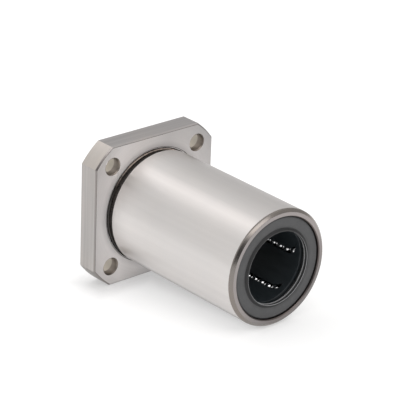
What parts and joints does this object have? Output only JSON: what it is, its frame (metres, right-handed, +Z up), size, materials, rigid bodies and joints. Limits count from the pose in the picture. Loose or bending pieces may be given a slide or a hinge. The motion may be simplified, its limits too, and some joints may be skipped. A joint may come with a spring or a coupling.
{
  "type": "linear ball bushing",
  "caption": "Flanged linear ball bushing: a steel tube with a square flange, seals and recirculating ball rows that roll along a round shaft.",
  "frame": {"origin": "on the bore axis at half the bushing's length, the centre of its bounding box", "axes": "+Z up, bore axis along Y, with the open tube end (front) towards -Y and the flange at the +Y end"},
  "size_m": [0.05, 0.07, 0.05],
  "materials": {
    "ground_steel": "ground satin, slightly warm grey",
    "black_nylon": "moulded, matte black",
    "grey_rubber": "matte dark grey",
    "spring_steel": "dark tempered",
    "bearing_steel": "polished"
  },
  "bodies": {
    "root": {"outer_cylinder": "ground_steel", "ball_retainer": "black_nylon", "front_side_ring": "spring_steel", "rear_side_ring": "spring_steel", "front_seal": "grey_rubber", "rear_seal": "grey_rubber"},
    "loaded_row_1": {"loaded_balls_1": "bearing_steel"},
    "return_row_1": {"return_balls_1": "bearing_steel"},
    "front_turn_1": {"front_turn_1_ball_1": "bearing_steel", "front_turn_1_ball_2": "bearing_steel", "front_turn_1_ball_3": "bearing_steel"},
    "rear_turn_1": {"rear_turn_1_ball_1": "bearing_steel", "rear_turn_1_ball_2": "bearing_steel", "rear_turn_1_ball_3": "bearing_steel"},
    "loaded_row_2": {"loaded_balls_2": "bearing_steel"},
    "return_row_2": {"return_balls_2": "bearing_steel"},
    "front_turn_2": {"front_turn_2_ball_1": "bearing_steel", "front_turn_2_ball_2": "bearing_steel", "front_turn_2_ball_3": "bearing_steel"},
    "rear_turn_2": {"rear_turn_2_ball_1": "bearing_steel", "rear_turn_2_ball_2": "bearing_steel", "rear_turn_2_ball_3": "bearing_steel"},
    "loaded_row_3": {"loaded_balls_3": "bearing_steel"},
    "return_row_3": {"return_balls_3": "bearing_steel"},
    "front_turn_3": {"front_turn_3_ball_1": "bearing_steel", "front_turn_3_ball_2": "bearing_steel", "front_turn_3_ball_3": "bearing_steel"},
    "rear_turn_3": {"rear_turn_3_ball_1": "bearing_steel", "rear_turn_3_ball_2": "bearing_steel", "rear_turn_3_ball_3": "bearing_steel"},
    "loaded_row_4": {"loaded_balls_4": "bearing_steel"},
    "return_row_4": {"return_balls_4": "bearing_steel"},
    "front_turn_4": {"front_turn_4_ball_1": "bearing_steel", "front_turn_4_ball_2": "bearing_steel", "front_turn_4_ball_3": "bearing_steel"},
    "rear_turn_4": {"rear_turn_4_ball_1": "bearing_steel", "rear_turn_4_ball_2": "bearing_steel", "rear_turn_4_ball_3": "bearing_steel"},
    "loaded_row_5": {"loaded_balls_5": "bearing_steel"},
    "return_row_5": {"return_balls_5": "bearing_steel"},
    "front_turn_5": {"front_turn_5_ball_1": "bearing_steel", "front_turn_5_ball_2": "bearing_steel", "front_turn_5_ball_3": "bearing_steel"},
    "rear_turn_5": {"rear_turn_5_ball_1": "bearing_steel", "rear_turn_5_ball_2": "bearing_steel", "rear_turn_5_ball_3": "bearing_steel"},
    "loaded_row_6": {"loaded_balls_6": "bearing_steel"},
    "return_row_6": {"return_balls_6": "bearing_steel"},
    "front_turn_6": {"front_turn_6_ball_1": "bearing_steel", "front_turn_6_ball_2": "bearing_steel", "front_turn_6_ball_3": "bearing_steel"},
    "rear_turn_6": {"rear_turn_6_ball_1": "bearing_steel", "rear_turn_6_ball_2": "bearing_steel", "rear_turn_6_ball_3": "bearing_steel"}
  },
  "joints": [
    {"name": "loaded_row_1_slide", "type": "slide", "parent": "root", "child": "loaded_row_1", "axis": [0, -1, 0], "range_m": [-0.0016, 0.0016]},
    {"name": "return_row_1_slide", "type": "slide", "parent": "root", "child": "return_row_1", "axis": [0, -1, 0], "range_m": [-0.0016, 0.0016]},
    {"name": "front_turn_1_roll", "type": "hinge", "parent": "root", "child": "front_turn_1", "pos_m": [0.0142, -0.0256, 0.00246], "axis": [-0.9992, 0, 0.0398], "range_deg": [-30, 30]},
    {"name": "rear_turn_1_roll", "type": "hinge", "parent": "root", "child": "rear_turn_1", "pos_m": [0.0142, 0.0256, 0.00246], "axis": [-0.9992, 0, 0.0398], "range_deg": [-30, 30]},
    {"name": "loaded_row_2_slide", "type": "slide", "parent": "root", "child": "loaded_row_2", "axis": [0, -1, 0], "range_m": [-0.0016, 0.0016]},
    {"name": "return_row_2_slide", "type": "slide", "parent": "root", "child": "return_row_2", "axis": [0, -1, 0], "range_m": [-0.0016, 0.0016]},
    {"name": "front_turn_2_roll", "type": "hinge", "parent": "root", "child": "front_turn_2", "pos_m": [0.00497, -0.0256, 0.01352], "axis": [-0.5341, 0, -0.8454], "range_deg": [-30, 30]},
    {"name": "rear_turn_2_roll", "type": "hinge", "parent": "root", "child": "rear_turn_2", "pos_m": [0.00497, 0.0256, 0.01352], "axis": [-0.5341, 0, -0.8454], "range_deg": [-30, 30]},
    {"name": "loaded_row_3_slide", "type": "slide", "parent": "root", "child": "loaded_row_3", "axis": [0, -1, 0], "range_m": [-0.0016, 0.0016]},
    {"name": "return_row_3_slide", "type": "slide", "parent": "root", "child": "return_row_3", "axis": [0, -1, 0], "range_m": [-0.0016, 0.0016]},
    {"name": "front_turn_3_roll", "type": "hinge", "parent": "root", "child": "front_turn_3", "pos_m": [-0.00923, -0.0256, 0.01106], "axis": [0.4651, 0, -0.8853], "range_deg": [-30, 30]},
    {"name": "rear_turn_3_roll", "type": "hinge", "parent": "root", "child": "rear_turn_3", "pos_m": [-0.00923, 0.0256, 0.01106], "axis": [0.4651, 0, -0.8853], "range_deg": [-30, 30]},
    {"name": "loaded_row_4_slide", "type": "slide", "parent": "root", "child": "loaded_row_4", "axis": [0, -1, 0], "range_m": [-0.0016, 0.0016]},
    {"name": "return_row_4_slide", "type": "slide", "parent": "root", "child": "return_row_4", "axis": [0, -1, 0], "range_m": [-0.0016, 0.0016]},
    {"name": "front_turn_4_roll", "type": "hinge", "parent": "root", "child": "front_turn_4", "pos_m": [-0.0142, -0.0256, -0.00246], "axis": [0.9992, 0, -0.0398], "range_deg": [-30, 30]},
    {"name": "rear_turn_4_roll", "type": "hinge", "parent": "root", "child": "rear_turn_4", "pos_m": [-0.0142, 0.0256, -0.00246], "axis": [0.9992, 0, -0.0398], "range_deg": [-30, 30]},
    {"name": "loaded_row_5_slide", "type": "slide", "parent": "root", "child": "loaded_row_5", "axis": [0, -1, 0], "range_m": [-0.0016, 0.0016]},
    {"name": "return_row_5_slide", "type": "slide", "parent": "root", "child": "return_row_5", "axis": [0, -1, 0], "range_m": [-0.0016, 0.0016]},
    {"name": "front_turn_5_roll", "type": "hinge", "parent": "root", "child": "front_turn_5", "pos_m": [-0.00497, -0.0256, -0.01352], "axis": [0.5341, 0, 0.8454], "range_deg": [-30, 30]},
    {"name": "rear_turn_5_roll", "type": "hinge", "parent": "root", "child": "rear_turn_5", "pos_m": [-0.00497, 0.0256, -0.01352], "axis": [0.5341, 0, 0.8454], "range_deg": [-30, 30]},
    {"name": "loaded_row_6_slide", "type": "slide", "parent": "root", "child": "loaded_row_6", "axis": [0, -1, 0], "range_m": [-0.0016, 0.0016]},
    {"name": "return_row_6_slide", "type": "slide", "parent": "root", "child": "return_row_6", "axis": [0, -1, 0], "range_m": [-0.0016, 0.0016]},
    {"name": "front_turn_6_roll", "type": "hinge", "parent": "root", "child": "front_turn_6", "pos_m": [0.00923, -0.0256, -0.01106], "axis": [-0.4651, 0, 0.8853], "range_deg": [-30, 30]},
    {"name": "rear_turn_6_roll", "type": "hinge", "parent": "root", "child": "rear_turn_6", "pos_m": [0.00923, 0.0256, -0.01106], "axis": [-0.4651, 0, 0.8853], "range_deg": [-30, 30]}
  ],
  "couplings": [
    {"joint": "return_row_1_slide", "follows": "loaded_row_1_slide", "ratio": -1},
    {"joint": "front_turn_1_roll", "follows": "loaded_row_1_slide", "rad_per_m": 327.2},
    {"joint": "rear_turn_1_roll", "follows": "loaded_row_1_slide", "rad_per_m": 327.2},
    {"joint": "return_row_2_slide", "follows": "loaded_row_2_slide", "ratio": -1},
    {"joint": "front_turn_2_roll", "follows": "loaded_row_2_slide", "rad_per_m": 327.2},
    {"joint": "rear_turn_2_roll", "follows": "loaded_row_2_slide", "rad_per_m": 327.2},
    {"joint": "return_row_3_slide", "follows": "loaded_row_3_slide", "ratio": -1},
    {"joint": "front_turn_3_roll", "follows": "loaded_row_3_slide", "rad_per_m": 327.2},
    {"joint": "rear_turn_3_roll", "follows": "loaded_row_3_slide", "rad_per_m": 327.2},
    {"joint": "return_row_4_slide", "follows": "loaded_row_4_slide", "ratio": -1},
    {"joint": "front_turn_4_roll", "follows": "loaded_row_4_slide", "rad_per_m": 327.2},
    {"joint": "rear_turn_4_roll", "follows": "loaded_row_4_slide", "rad_per_m": 327.2},
    {"joint": "return_row_5_slide", "follows": "loaded_row_5_slide", "ratio": -1},
    {"joint": "front_turn_5_roll", "follows": "loaded_row_5_slide", "rad_per_m": 327.2},
    {"joint": "rear_turn_5_roll", "follows": "loaded_row_5_slide", "rad_per_m": 327.2},
    {"joint": "return_row_6_slide", "follows": "loaded_row_6_slide", "ratio": -1},
    {"joint": "front_turn_6_roll", "follows": "loaded_row_6_slide", "rad_per_m": 327.2},
    {"joint": "rear_turn_6_roll", "follows": "loaded_row_6_slide", "rad_per_m": 327.2}
  ]
}
